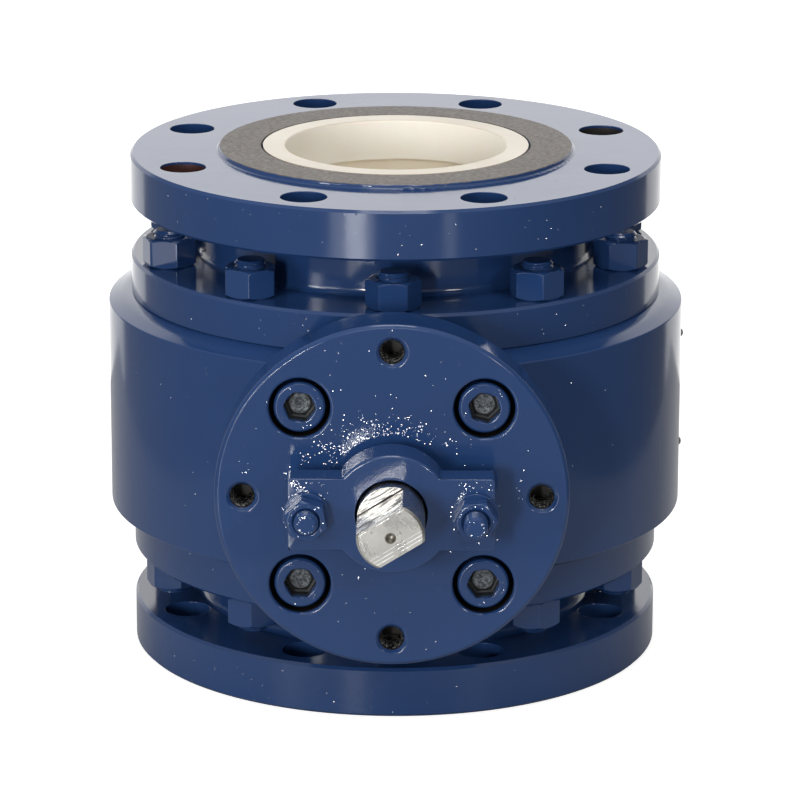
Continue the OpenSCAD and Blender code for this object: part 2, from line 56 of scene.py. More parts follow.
# Places that the CAD model's boxes give
MIDDLE = (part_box("body")[0].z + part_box("body")[1].z) / 2
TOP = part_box("top_end_cap")[1].z
HALF_HEIGHT = TOP - MIDDLE
BODY_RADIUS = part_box("body")[1].x
PAD_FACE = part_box("mounting_flange")[0].y
GLAND_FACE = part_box("gland_flange")[0].y
STEM_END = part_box("stem")[0].y
NUT_TOP = -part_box("gland_nuts")[0].y
STUD_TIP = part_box("top_studs")[1].z - MIDDLE
STUD_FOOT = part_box("top_studs")[0].z - MIDDLE

# Sizes of the CAD model that its boxes don't give; a circle of holes or studs is given by its radius
PIPE_HOLE_CIRCLE = 100 * MM
PIPE_HOLE_RADIUS = 10 * MM
PIPE_FLANGE_FACE = TOP - 2 * MM
PIPE_FLANGE_BACK = TOP - 24 * MM
RAISED_RADIUS = 78.5 * MM
TAPPED_CIRCLE = 62.5 * MM
TAPPED_CORE = 5.1 * MM
TAPPED_DEPTH = 17 * MM
SCREW_CIRCLE = 54.3 * MM
SCREW_REACH = 38.4 * MM
COUNTERBORE_RADIUS = 12.8 * MM
HEAD_FACE = PAD_FACE + 1.2 * MM
SOCKET_FLOOR = 150.8 * MM
SOCKET_RADIUS = 6.9 * MM
STEM_RADIUS = 14 * MM
FLATS_ANGLE = math.radians(32)
HALF_FLATS = 8.5 * MM
FLATS_LENGTH = 25 * MM
STUD_CIRCLE = 104.25 * MM
STUD_RADIUS = 7 * MM
STUD_COUNT = 10
GLAND_STUD_X = 34.8 * MM
GLAND_STUD_RADIUS = 5 * MM
GLAND_STUD_FOOT = 144 * MM
GLAND_STUD_TIPS = {-1: 198.2 * MM, 1: 202.2 * MM}

# The stem's own frame: x to the right, y up, z out along the stem from the middle of the ball
STEM_FRAME = Matrix(((1, 0, 0, 0), (0, 0, -1, 0), (0, 1, 0, MIDDLE), (0, 0, 0, 1)))


def direction(azimuth, elevation):
    """Unit vector from the valve; azimuth counts from its front, positive toward +X, both in degrees."""
    turn = math.radians(azimuth)
    rise = math.radians(elevation)
    return Vector((math.sin(turn) * math.cos(rise), -math.cos(turn) * math.cos(rise), math.sin(rise)))


def add_object(name, data):
    """A new object in the scene, at the origin."""
    thing = bpy.data.objects.new(name, data)
    bpy.context.scene.collection.objects.link(thing)
    return thing


# Shader nodes


class Shader:
    """Adds shader nodes to a material or a world and links them."""

    def __init__(self, owner):
        owner.use_nodes = True
        self.tree = owner.node_tree
        self.tree.nodes.clear()

    def add(self, kind, feeds=None, **settings):
        made = self.tree.nodes.new(kind)
        for key, value in settings.items():
            setattr(made, key, value)
        for key, value in (feeds or {}).items():
            self.feed(made.inputs[key], value)
        return made

    def feed(self, socket, value):
        if isinstance(value, bpy.types.Node):
            value = value.outputs[0]
        if isinstance(value, bpy.types.NodeSocket):
            self.tree.links.new(value, socket)
        else:
            socket.default_value = value

    def math(self, operation, first, second=0.0, clamp=False):
        return self.add("ShaderNodeMath", {0: first, 1: second}, operation=operation, use_clamp=clamp)

    def times(self, first, *more):
        for value in more:
            first = self.math("MULTIPLY", first, value)
        return first

    def plus(self, first, *more):
        for value in more:
            first = self.math("ADD", first, value)
        return first

    def minus(self, first, second):
        return self.math("SUBTRACT", first, second)

    def absolute(self, value):
        return self.math("ABSOLUTE", value)

    def length(self, first, second):
        return self.math("SQRT", self.plus(self.times(first, first), self.times(second, second)))

    def ramp(self, value, low, high, start=0.0, end=1.0):
        """Smooth step from start, where the value is low, to end, where it is high."""
        feeds = {"Value": value, "From Min": low, "From Max": high, "To Min": start, "To Max": end}
        return self.add("ShaderNodeMapRange", feeds, interpolation_type="SMOOTHSTEP")

    def place(self):
        return self.add("ShaderNodeTexCoord").outputs["Object"]

    def split(self, place):
        return self.add("ShaderNodeSeparateXYZ", {"Vector": place}).outputs

    def combine(self, x=0.0, y=0.0, z=0.0):
        return self.add("ShaderNodeCombineXYZ", {"X": x, "Y": y, "Z": z})

    def noise(self, place, period, detail=2.0, roughness=0.5):
        feeds = {"Vector": place, "Scale": 1 / period, "Detail": detail, "Roughness": roughness}
        return self.add("ShaderNodeTexNoise", feeds).outputs["Fac"]

    def spots(self, place, period, edge, core, least):
        """Round spots, one in each cell whose random brightness, from 0 to 1, is over the least."""
        cells = self.add("ShaderNodeTexVoronoi", {"Vector": place, "Scale": 1 / period})
        spot = self.ramp(cells.outputs["Distance"], edge, core)
        return self.times(spot, self.ramp(cells.outputs["Color"], least, least + 0.02))

    def mix(self, factor, first, second, kind="RGBA"):
        made = self.add("ShaderNodeMix", data_type=kind)
        for name, value in (("Factor", factor), ("A", first), ("B", second)):
            self.feed(made.inputs[name], value)
        return made.outputs["Result"]

    def blend(self, factor, first, second):
        return self.mix(factor, first, second, kind="FLOAT")

    def bump(self, height):
        """Normal of a surface whose height is given in metres."""
        feeds = {"Height": height, "Distance": 1.0, "Strength": 1.0}
        return self.add("ShaderNodeBump", feeds).outputs["Normal"]

    def finish(self, feeds):
        surface = self.add("ShaderNodeBsdfPrincipled", feeds)
        self.add("ShaderNodeOutputMaterial", {"Surface": surface})


def new_material(name):
    material = bpy.data.materials.new(name)
    return material, Shader(material)


def grey(value):
    return (value, value, value, 1)


# Places on the valve, as shader nodes


def from_middle(shader, z):
    """Distance above or below the middle of the valve."""
    return shader.absolute(shader.minus(z, MIDDLE))


def from_screw(shader, x, z):
    """Distance from the axis of the nearest socket screw."""
    side = shader.minus(shader.absolute(x), SCREW_REACH)
    rise = shader.minus(from_middle(shader, z), SCREW_REACH)
    return shader.length(side, rise)


def from_tapped_hole(shader, x, z):
    """Distance from the axis of the nearest tapped hole."""
    side = shader.absolute(x)
    rise = from_middle(shader, z)
    far = shader.math("MAXIMUM", side, rise)
    near = shader.math("MINIMUM", side, rise)
    return shader.length(shader.minus(far, TAPPED_CIRCLE), near)


def in_pipe_hole(shader, place, angle):
    """1 inside the pipe bolt hole of the top flange that stands at an angle in degrees, below its mouth."""
    centre = Matrix.Rotation(math.radians(angle), 3, "Z") @ Vector((PIPE_HOLE_CIRCLE, 0, 0))
    x, y, z = shader.split(place)
    from_axis = shader.length(shader.minus(x, centre.x), shader.minus(y, centre.y))
    near = shader.ramp(from_axis, PIPE_HOLE_RADIUS + 0.5 * MM, PIPE_HOLE_RADIUS + 0.1 * MM)
    sunk = shader.ramp(z, PIPE_FLANGE_FACE - 0.6 * MM, PIPE_FLANGE_FACE - 1.6 * MM)
    above = shader.ramp(z, PIPE_FLANGE_BACK - 1.5 * MM, PIPE_FLANGE_BACK - 0.5 * MM)
    return shader.times(near, sunk, above)


def above_gland(shader, x, z, reach):
    """1 above and to the upper left of the stem, out to a reach in millimetres."""
    fade = 9
    rise = shader.minus(z, MIDDLE)
    radius = shader.length(x, rise)
    near = shader.ramp(radius, reach * MM, (reach - fade) * MM)
    # The cosine of the angle from the upper left, 30 degrees off the vertical
    toward = shader.plus(shader.times(rise, 0.87), shader.times(x, -0.5))
    above = shader.ramp(shader.math("DIVIDE", toward, shader.math("MAXIMUM", radius, MM)), 0.1, 0.6)
    return shader.times(near, above)


# Materials

BLUE = (0.0165, 0.0475, 0.147, 1)
BLUE_DEEP = (0.0145, 0.042, 0.129, 1)
PAINT_IOR = 1.5
GLAND_IOR = 1.57
NIB_IOR = 1.9


def paint_colour(shader, place):
    return shader.mix(shader.noise(place, 35 * MM, 3.0), BLUE, BLUE_DEEP)


def paint_roughness(shader, place):
    """Glossy paint, with duller clouds in it."""
    return shader.ramp(shader.noise(place, 22 * MM, 3.0), 0.3, 0.7, 0.09, 0.15)


def paint_height(shader, place):
    """Height of the sprayed paint in metres: long waves, orange peel and dust under the film."""
    waves = shader.times(shader.noise(place, 9 * MM, 1.0), 0.020 * MM)
    peel = shader.times(shader.noise(place, 1.9 * MM, 1.0), 0.0055 * MM)
    dust = shader.times(shader.spots(place, 5.5 * MM, 0.075, 0.0, 0.60), 0.11 * MM)
    return shader.plus(waves, peel, dust)


def paint_feeds(shader, place, thick=None):
    """Feeds of the blue paint; thick is 1 where the spray built up and dried in fine ripples."""
    height = paint_height(shader, place)
    if thick is not None:
        ripple = shader.times(shader.noise(place, 0.85 * MM, 2.0, 0.6), 0.055 * MM)
        height = shader.plus(height, shader.times(ripple, thick))
    return {
        "Base Color": paint_colour(shader, place),
        "Roughness": paint_roughness(shader, place),
        "Normal": shader.bump(height),
        "IOR": PAINT_IOR,
    }


def paint_material():
    material, shader = new_material("blue_paint")
    shader.finish(paint_feeds(shader, shader.place()))
    return material


def end_cap_material():
    """Paint with the bare turned sealing face, and two pipe bolt holes that the spray missed."""
    material, shader = new_material("painted_end_cap")
    place = shader.place()
    x, y, z = shader.split(place)
    radius = shader.length(x, y)
    ragged = shader.times(shader.minus(shader.noise(place, 4 * MM, 3.0), 0.5), 0.9 * MM)
    inside = shader.ramp(shader.plus(radius, ragged), RAISED_RADIUS - 0.1 * MM, RAISED_RADIUS - 0.6 * MM)
    on_face = shader.ramp(from_middle(shader, z), HALF_HEIGHT - 0.55 * MM, HALF_HEIGHT - 0.3 * MM)
    bare = shader.times(inside, on_face)

    cloud = shader.noise(place, 16 * MM, 4.0, 0.6)
    fine = shader.noise(place, 2.2 * MM, 4.0, 0.65)
    steel = shader.mix(cloud, (0.118, 0.104, 0.093, 1), (0.174, 0.155, 0.140, 1))
    steel = shader.mix(shader.ramp(fine, 0.55, 0.85, 0.0, 0.35), steel, (0.11, 0.094, 0.08, 1))
    groove_pitch = 0.8 * MM
    grooves = shader.math("SINE", shader.times(radius, 2 * math.pi / groove_pitch))

    missed_left = in_pipe_hole(shader, place, 202.5)
    missed_right = in_pipe_hole(shader, place, 22.5)
    missed = shader.math("ADD", missed_left, missed_right, clamp=True)
    dirt = shader.noise(place, 3 * MM, 4.0)
    rust = shader.mix(dirt, (0.085, 0.022, 0.014, 1), (0.03, 0.012, 0.012, 1))
    sooty = shader.mix(dirt, (0.028, 0.022, 0.018, 1), (0.010, 0.009, 0.010, 1))

    painted = shader.mix(missed, paint_colour(shader, place), shader.mix(missed_right, rust, sooty))
    rough_paint = shader.blend(missed, paint_roughness(shader, place), 0.55)
    rough_steel = shader.ramp(fine, 0.3, 0.7, 0.42, 0.62)
    heights = shader.blend(bare, paint_height(shader, place), shader.times(grooves, 0.012 * MM))
    shader.finish({"Base Color": shader.mix(bare, painted, steel), "IOR": PAINT_IOR,
                   "Roughness": shader.blend(bare, rough_paint, rough_steel),
                   "Metallic": shader.times(bare, 0.75), "Normal": shader.bump(heights)})
    return material


def mounting_flange_material():
    """Paint, thick above the gland, with oily steel in the tapped holes and painted shade round the screw
    heads.
    """
    material, shader = new_material("painted_mounting_flange")
    place = shader.place()
    x, y, z = shader.split(place)
    feeds = paint_feeds(shader, place, above_gland(shader, x, z, reach=43))
    near = shader.ramp(from_tapped_hole(shader, x, z), TAPPED_CORE + 0.35 * MM, TAPPED_CORE + 0.15 * MM)
    in_hole = shader.times(near, shader.ramp(y, PAD_FACE + 0.9 * MM, PAD_FACE + 1.6 * MM))
    oily = shader.mix(shader.noise(place, 1.5 * MM, 3.0), (0.010, 0.010, 0.010, 1), (0.035, 0.030, 0.026, 1))
    feeds["Base Color"] = shader.mix(in_hole, feeds["Base Color"], oily)
    feeds["Roughness"] = shader.blend(in_hole, feeds["Roughness"], 0.35)

    # Painted shade: the gap round each screw head, down in its counterbore, is coloured near black and
    # reflects little
    near = shader.ramp(from_screw(shader, x, z), COUNTERBORE_RADIUS + 0.4 * MM, COUNTERBORE_RADIUS + 0.2 * MM)
    in_gap = shader.times(near, shader.ramp(y, PAD_FACE + 1.3 * MM, PAD_FACE + 2.6 * MM))
    painted_gap_shade = shader.mix(shader.noise(place, 2 * MM, 3.0), (0.004, 0.004, 0.005, 1), (0.014, 0.010, 0.008, 1))
    feeds["Base Color"] = shader.mix(in_gap, feeds["Base Color"], painted_gap_shade)
    feeds["Roughness"] = shader.blend(in_gap, feeds["Roughness"], 0.8)
    feeds["Specular IOR Level"] = shader.blend(in_gap, 0.5, 0.12)
    shader.finish(feeds)
    return material


def gland_material():
    """Paint with thick, rippled film over the stem."""
    material, shader = new_material("painted_gland")
    place = shader.place()
    outputs = shader.split(place)
    feeds = paint_feeds(shader, place, above_gland(shader, outputs["X"], outputs["Z"], reach=32))
    feeds["IOR"] = GLAND_IOR
    shader.finish(feeds)
    return material


def gland_bush_material():
    """Steel of the gland bush, coloured near black as painted shade down in the gap round the stem."""
    material, shader = new_material("bush_in_painted_shade")
    film = shader.noise(shader.place(), 3 * MM, 3.0)
    shader.finish({"Base Color": shader.mix(film, (0.010, 0.012, 0.018, 1), (0.022, 0.024, 0.032, 1)),
                   "Roughness": shader.ramp(film, 0.3, 0.7, 0.45, 0.6)})
    return material


def screw_material():
    """Painted socket screws with bare sockets, whose walls are coloured near black as painted shade."""
    material, shader = new_material("painted_screws")
    place = shader.place()
    feeds = paint_feeds(shader, place)
    x, y, z = shader.split(place)
    near = shader.ramp(from_screw(shader, x, z), SOCKET_RADIUS + 0.3 * MM, SOCKET_RADIUS)
    in_socket = shader.times(near, shader.ramp(y, HEAD_FACE + 2.0 * MM, HEAD_FACE + 3.8 * MM))
    dirt = shader.noise(place, 1.6 * MM, 4.0, 0.65)
    # Painted shade: down in each socket the walls are coloured near black, with a mottle
    socket_wall_painted_shade = shader.mix(dirt, (0.006, 0.007, 0.008, 1), (0.030, 0.034, 0.040, 1))
    feeds["Base Color"] = shader.mix(in_socket, feeds["Base Color"], socket_wall_painted_shade)
    feeds["Roughness"] = shader.blend(in_socket, feeds["Roughness"], 0.5)
    shader.finish(feeds)
    return material


def socket_floor_material():
    """Zinc on the floors of the sockets, mottled with dirt, and coloured near black toward their corners as
    painted shade.
    """
    material, shader = new_material("dirty_zinc_painted_corner_shade")
    place = shader.place()
    outputs = shader.split(place)
    dirt = shader.noise(place, 1.4 * MM, 5.0, 0.7)
    colour = shader.mix(shader.ramp(dirt, 0.40, 0.68), (0.030, 0.033, 0.037, 1), (0.19, 0.215, 0.24, 1))
    # Painted shade: each floor goes near black toward the corners of its socket
    reach = shader.plus(from_screw(shader, outputs["X"], outputs["Z"]), shader.times(dirt, 1.6 * MM))
    colour = shader.mix(shader.ramp(reach, 4.7 * MM, 5.5 * MM), colour, (0.008, 0.008, 0.008, 1))
    shader.finish({"Base Color": colour, "Roughness": shader.ramp(dirt, 0.3, 0.7, 0.6, 0.38),
                   "Metallic": 0.35, "Normal": shader.bump(shader.times(dirt, 0.12 * MM))})
    return material


def oily_thread_material():
    """Steel of the tapped threads, bright where the oil film is thin."""
    material, shader = new_material("oily_steel_thread")
    film = shader.noise(shader.place(), 1.2 * MM, 4.0)
    colour = shader.mix(shader.ramp(film, 0.4, 0.65), (0.03, 0.03, 0.032, 1), (0.34, 0.33, 0.32, 1))
    shader.finish({"Base Color": colour, "Roughness": shader.ramp(film, 0.3, 0.7, 0.16, 0.34),
                   "Metallic": 0.9, "Normal": shader.bump(shader.times(film, 0.04 * MM))})
    return material


def ceramic_material(name, light, dark, ground=None):
    """Fired ceramic: faint clouds and small pits; ground colours the dull end faces of the rings."""
    material, shader = new_material(name)
    place = shader.place()
    cloud = shader.noise(place, 30 * MM, 4.0, 0.55)
    grain = shader.noise(place, 0.9 * MM, 3.0)
    pit = shader.spots(place, 7 * MM, 0.06, 0.02, 0.72)
    colour = shader.mix(shader.ramp(cloud, 0.3, 0.7), light, dark)
    colour = shader.mix(shader.times(pit, 0.55), colour, (0.33, 0.27, 0.20, 1))
    if ground is not None:
        height = from_middle(shader, shader.split(place)["Z"])
        on_end = shader.ramp(height, HALF_HEIGHT - 0.7 * MM, HALF_HEIGHT - 0.2 * MM)
        colour = shader.mix(on_end, colour, ground)
    relief = shader.minus(shader.times(grain, 0.004 * MM), shader.times(pit, 0.05 * MM))
    shader.finish({"Base Color": colour, "Roughness": shader.ramp(cloud, 0.3, 0.7, 0.30, 0.42),
                   "IOR": 1.6, "Subsurface Weight": 0.12, "Subsurface Scale": 2 * MM,
                   "Normal": shader.bump(relief)})
    return material


def matte_material(name, light, dark, roughness, period):
    """Graphite, gasket sheet or plastic: a mottled matte surface."""
    material, shader = new_material(name)
    mottle = shader.noise(shader.place(), period, 5.0, 0.6)
    shader.finish({"Base Color": shader.mix(mottle, light, dark),
                   "Roughness": shader.ramp(mottle, 0.3, 0.7, roughness, roughness + 0.15),
                   "Normal": shader.bump(shader.times(mottle, 0.03 * MM))})
    return material


def tool_marks(shader, along, across):
    """1 on the bright strokes that the cutter left across the stem's end, along the flats."""
    marks = 0.0
    for offset, width in ((-6.9, 0.16), (-5.4, 0.16), (-3.9, 0.10), (7.6, 0.2)):
        gap = shader.absolute(shader.minus(across, offset * MM))
        marks = shader.math("MAXIMUM", marks, shader.ramp(gap, width * MM, 0.4 * width * MM))
    return marks


def stem_material():
    """Bright steel of the stem and the packing adapters, with turning lines, and torn skin on the flats."""
    material, shader = new_material("bright_steel")
    place = shader.place()
    x, y, z = shader.split(place)
    rise = shader.minus(z, MIDDLE)
    radius = shader.length(x, rise)
    # Square to the flats and along them, from the stem's axis
    across = shader.minus(shader.times(rise, math.cos(FLATS_ANGLE)), shader.times(x, math.sin(FLATS_ANGLE)))
    along = shader.plus(shader.times(x, math.cos(FLATS_ANGLE)), shader.times(rise, math.sin(FLATS_ANGLE)))
    from_axis = shader.absolute(across)
    on_end = shader.ramp(y, STEM_END + 0.35 * MM, STEM_END + 0.15 * MM)
    on_flat = shader.times(shader.ramp(from_axis, HALF_FLATS - 0.05 * MM, HALF_FLATS - 0.02 * MM),
                           shader.ramp(radius, STEM_RADIUS - 0.1 * MM, STEM_RADIUS - 0.25 * MM),
                           shader.minus(1.0, on_end))

    # Turned all round, milled on the end and torn by the cutter on the flats
    turning = shader.noise(shader.combine(radius, y), 0.4 * MM, 3.0)
    milling = shader.noise(shader.combine(shader.times(along, 0.06), across, shader.times(y, 0.6)),
                           0.5 * MM, 3.0, 0.6)
    skin = shader.noise(shader.combine(shader.times(along, 0.16), across, shader.times(y, 0.40)),
                        1.0 * MM, 4.0, 0.7)
    stain = shader.noise(place, 7 * MM, 4.0, 0.6)
    colour = shader.mix(shader.ramp(stain, 0.3, 0.75), (0.66, 0.655, 0.62, 1), (0.54, 0.53, 0.50, 1))
    torn = shader.times(on_flat, shader.ramp(skin, 0.45, 0.60))
    colour = shader.mix(torn, colour, (0.17, 0.16, 0.155, 1))

    # A dark scribed line at the foot of the flats
    from_foot = shader.absolute(shader.minus(y, STEM_END + FLATS_LENGTH))
    line = shader.times(shader.ramp(from_axis, HALF_FLATS + 0.75 * MM, HALF_FLATS + 0.3 * MM),
                        shader.ramp(from_foot, 1.3 * MM, 0.7 * MM),
                        shader.ramp(from_axis, HALF_FLATS - 0.2 * MM, HALF_FLATS - 0.05 * MM))
    colour = shader.mix(line, colour, (0.05, 0.045, 0.045, 1))

    # Bright tool marks with breaks in them, and painted shade in and round the centre hole
    breaks = shader.ramp(shader.noise(shader.combine(along, across), 5 * MM, 1.0), 0.38, 0.48)
    marks = shader.times(tool_marks(shader, along, across), on_end, breaks)
    colour = shader.mix(marks, colour, (0.98, 0.98, 0.95, 1))
    in_centre = shader.times(shader.ramp(radius, 2.45 * MM, 2.15 * MM),
                             shader.ramp(y, STEM_END + 2 * MM, STEM_END))
    colour = shader.mix(in_centre, colour, (0.16, 0.145, 0.12, 1))

    rings = shader.noise(shader.combine(radius), 0.5 * MM, 2.0)
    heights = shader.plus(shader.times(shader.blend(on_end, turning, milling), 0.012 * MM),
                          shader.times(skin, on_flat, 0.03 * MM),
                          shader.times(rings, on_end, 0.05 * MM))
    heights = shader.minus(heights, shader.times(marks, 0.05 * MM))
    roughness = shader.blend(on_flat, shader.ramp(stain, 0.3, 0.7, 0.22, 0.32),
                             shader.ramp(skin, 0.42, 0.62, 0.26, 0.48))
    shader.finish({"Base Color": colour, "Metallic": 1.0, "Roughness": roughness,
                   "Normal": shader.bump(heights)})
    return material


def plate_material():
    """Blank stainless plate, brushed along its length."""
    material, shader = new_material("blank_plate")
    place = shader.place()
    outputs = shader.split(place)
    lines = shader.noise(shader.combine(0.0, shader.times(outputs["Y"], 0.02), outputs["Z"]), 0.3 * MM, 3.0)
    colour = shader.mix(shader.noise(place, 12 * MM, 3.0), (0.42, 0.42, 0.41, 1), (0.30, 0.30, 0.295, 1))
    shader.finish({"Base Color": colour, "Metallic": 1.0,
                   "Roughness": shader.ramp(lines, 0.3, 0.7, 0.32, 0.45),
                   "Normal": shader.bump(shader.times(lines, 0.01 * MM))})
    return material


def nib_material():
    """The same blue on nibs; they are a little glossier than the film around them."""
    material, shader = new_material("blue_paint_nibs")
    place = shader.place()
    shader.finish({"Base Color": paint_colour(shader, place), "IOR": NIB_IOR,
                   "Roughness": shader.ramp(shader.noise(place, 3 * MM), 0.3, 0.7, 0.08, 0.2)})
    return material


PAINT = paint_material()
CAP = end_cap_material()
PLATE = plate_material()

BY_SLOT = {
    "blue_paint": PAINT,
    "white_ceramic": ceramic_material("white_ceramic", (0.95, 0.92, 0.84, 1), (0.93, 0.89, 0.80, 1),
                                      (0.66, 0.59, 0.485, 1)),
    "lining_ceramic": ceramic_material("lining_ceramic", (0.86, 0.79, 0.67, 1), (0.80, 0.72, 0.59, 1)),
    "graphite": matte_material("graphite", (0.035, 0.036, 0.04, 1), (0.075, 0.075, 0.08, 1), 0.5, 3 * MM),
    "low_friction_plastic": matte_material("low_friction_plastic", (0.80, 0.79, 0.75, 1),
                                           (0.72, 0.71, 0.68, 1), 0.35, 5 * MM),
    "bare_steel": stem_material(),
}
BY_NODE = {"top_end_cap": CAP, "bottom_end_cap": CAP, "mounting_flange": mounting_flange_material(),
           "mounting_screws": screw_material(), "gland_flange": gland_material(),
           "gland_bush": gland_bush_material()}


def dress(thing, material):
    thing.data.materials.clear()
    thing.data.materials.append(material)


for subpart in frame["record"]["subparts"]:
    name = subpart["node"]
    dress(nodes[name], BY_NODE.get(name, BY_SLOT[subpart["material_slot"]]))


# Paint-rounded edges of the CAD solids

# Edges that turn by fewer degrees than this stay sharp; the end caps' own bevels turn by 45 degrees
LEAST_TURN = 24
LEAST_TURN_END_CAPS = 58
# Where the end caps turn by more degrees than this, the shading doesn't run on over the edge
CRISP_TURN = 40
# Widths of the rounding in millimetres
EDGE_WIDTHS = {"body": 0.5, "top_end_cap": 0.35, "bottom_end_cap": 0.35, "mounting_flange": 0.4,
               "top_nuts": 0.35, "bottom_nuts": 0.35, "gland_flange": 0.45, "gland_washers": 0.3,
               "mounting_screws": 0.35}


def round_edges(thing, width, least_turn=LEAST_TURN):
    """Rounds the sharp edges of a CAD node or piece, as paint and tumbling leave them."""
    weld = thing.modifiers.new("weld", "WELD")
    weld.merge_threshold = 0.002 * MM
    bevel = thing.modifiers.new("bevel", "BEVEL")
    bevel.width = width * MM
    bevel.segments = 3
    bevel.limit_method = "ANGLE"
    bevel.angle_limit = math.radians(least_turn)
    bevel.use_clamp_overlap = False
    bevel.miter_outer = "MITER_SHARP"
    if least_turn > CRISP_TURN:
        split = thing.modifiers.new("split", "EDGE_SPLIT")
        split.split_angle = math.radians(CRISP_TURN)
    thing.data.polygons.foreach_set("use_smooth", [True] * len(thing.data.polygons))
    flatten = thing.modifiers.new("flatten", "WEIGHTED_NORMAL")
    flatten.mode = "FACE_AREA_WITH_ANGLE"
    flatten.weight = 60


for name, width in EDGE_WIDTHS.items():
    round_edges(nodes[name], width, LEAST_TURN_END_CAPS if name.endswith("end_cap") else LEAST_TURN)


# Pieces


def new_piece(name, work, material, replaced=(), smooth=False):
    """Turns a finished bmesh into a piece on the valve's body."""
    mesh = bpy.data.meshes.new(name)
    bmesh.ops.recalc_face_normals(work, faces=work.faces)
    work.to_mesh(mesh)
    work.free()
    mesh.polygons.foreach_set("use_smooth", [smooth] * len(mesh.polygons))
    thing = add_object(name, mesh)
    dress(thing, material)
    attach(thing, BODY)
    if replaced:
        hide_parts(*replaced)
    return thing


def on_circle(angle, radius, height):
    """Point at an angle about the Z axis."""
    return Vector((radius * math.cos(angle), radius * math.sin(angle), height))


def bridge(work, first, second):
    """Joins two rings of as many points by a band of faces."""
    count = len(first)
    for k in range(count):
        after = (k + 1) % count
        work.faces.new((first[k], first[after], second[after], second[k]))


def hexagon(angle):
    """Distance from the middle of a hexagon to its outline at an angle, where its flats lie at 1."""
    return 1 / math.cos(angle % math.radians(60) - math.radians(30))


# Rings of points in each pitch of a thread
STEPS_IN_PITCH = 9


def thread_share(turn):
    """Height of a V thread from root (0) to crest (1) at a place counted in pitches."""
    flat = 0.14
    phase = abs(turn % 1 - 0.5) * 2
    return min(max((phase - flat) / (1 - 2 * flat), 0), 1)


def tube(work, place, heights, radius_at, around):
    """Lofts circles whose radius depends on height and turn."""
    rows = []
    for height in heights:
        row = []
        for k in range(around):
            point = on_circle(2 * math.pi * k / around, radius_at(height, k / around), height)
            row.append(work.verts.new(place @ point))
        rows.append(row)
    for first, second in zip(rows, rows[1:]):
        bridge(work, first, second)
    return rows


def steps(low, high, step):
    """Values from low to high, no more than about a step apart."""
    count = max(1, math.ceil((high - low) / step))
    return [low + (high - low) * i / count for i in range(count + 1)]


def add_stud(work, place, radius, pitch, depth, foot, thread_low, tip):
    """A stud with a plain foot, a right-hand thread and a bevelled tip."""
    bevel = 1.3 * MM
    around = 36

    def radius_at(height, turn):
        cut = depth * (1 - thread_share(height / pitch - turn))
        run_in = min(max((height - thread_low) / pitch, 0), 1)
        return min(radius - cut * run_in, radius - max(0, height - (tip - bevel)))

    rows = tube(work, place, [foot] + steps(thread_low, tip, pitch / STEPS_IN_PITCH), radius_at, around)
    middle = work.verts.new(place @ Vector((0, 0, tip)))
    for k in range(around):
        work.faces.new((rows[-1][k], rows[-1][(k + 1) % around], middle))
    work.faces.new(rows[0][::-1])


def studs_piece(name, node, side):
    """The studs of one end cap, with threads where they stand out of their nuts; side is 1 at the top."""
    thread_length = 4.5 * MM
    end = Matrix.Translation((0, 0, MIDDLE)) @ Matrix.Rotation(0 if side > 0 else math.pi, 4, "X")
    work = bmesh.new()
    for i in range(STUD_COUNT):
        angle = math.radians(-90 + 360 / STUD_COUNT * i)
        place = end @ (Matrix.Rotation(angle * side, 4, "Z") @ Matrix.Translation((STUD_CIRCLE, 0, 0)))
        add_stud(work, place, STUD_RADIUS, pitch=2 * MM, depth=0.95 * MM, foot=STUD_FOOT,
                 thread_low=STUD_TIP - thread_length, tip=STUD_TIP)
    new_piece(name, work, PAINT, replaced=(node,))


def gland_studs_piece():
    """The two studs of the gland, threaded outside the mounting flange; they stand out unequally."""
    work = bmesh.new()
    for side, tip in GLAND_STUD_TIPS.items():
        place = STEM_FRAME @ Matrix.Translation((side * GLAND_STUD_X, 0, 0))
        add_stud(work, place, GLAND_STUD_RADIUS, pitch=1.5 * MM, depth=0.8 * MM, foot=GLAND_STUD_FOOT,
                 thread_low=-PAD_FACE, tip=tip)
    new_piece("gland_stud_threads", work, PAINT, replaced=("gland_studs",))


def nut_profile(angle, flats, height, bore, mouth):
    """Radii and heights of a hexagon nut at an angle; both its faces are turned down at 30 degrees."""
    face = flats / 2 - 0.3 * MM
    corner = flats / 2 * hexagon(angle)
    drop = max(0, corner - face) * math.tan(math.radians(30))
    return ((corner, drop), (corner, height - drop), (face, height), (mouth, height),
            (bore, height - mouth + bore), (bore, 0), (face, 0))


def add_nut(work, place, flats, height, bore, mouth):
    """A hexagon nut with a countersunk thread mouth."""
    around = 48
    angles = [2 * math.pi * k / around for k in range(around)]
    rows = []
    for ring in zip(*(nut_profile(angle, flats, height, bore, mouth) for angle in angles)):
        rows.append([work.verts.new(place @ on_circle(angle, *point)) for angle, point in zip(angles, ring)])
    for first, second in zip(rows, rows[1:] + rows[:1]):
        bridge(work, first, second)


def gland_nuts_piece():
    """The two nuts of the gland, each turned as it came to rest."""
    flats = 16 * MM
    height = 8.4 * MM
    mouth = 6.0 * MM
    work = bmesh.new()
    for side, turn in ((-1, 42), (1, 3)):
        place = (STEM_FRAME @ Matrix.Translation((side * GLAND_STUD_X, 0, NUT_TOP - height))
                 @ Matrix.Rotation(math.radians(turn), 4, "Z"))
        add_nut(work, place, flats, height, GLAND_STUD_RADIUS + 0.03 * MM, mouth)
    thing = new_piece("gland_nuts_countersunk", work, PAINT, replaced=("gland_nuts",), smooth=True)
    round_edges(thing, width=0.25)


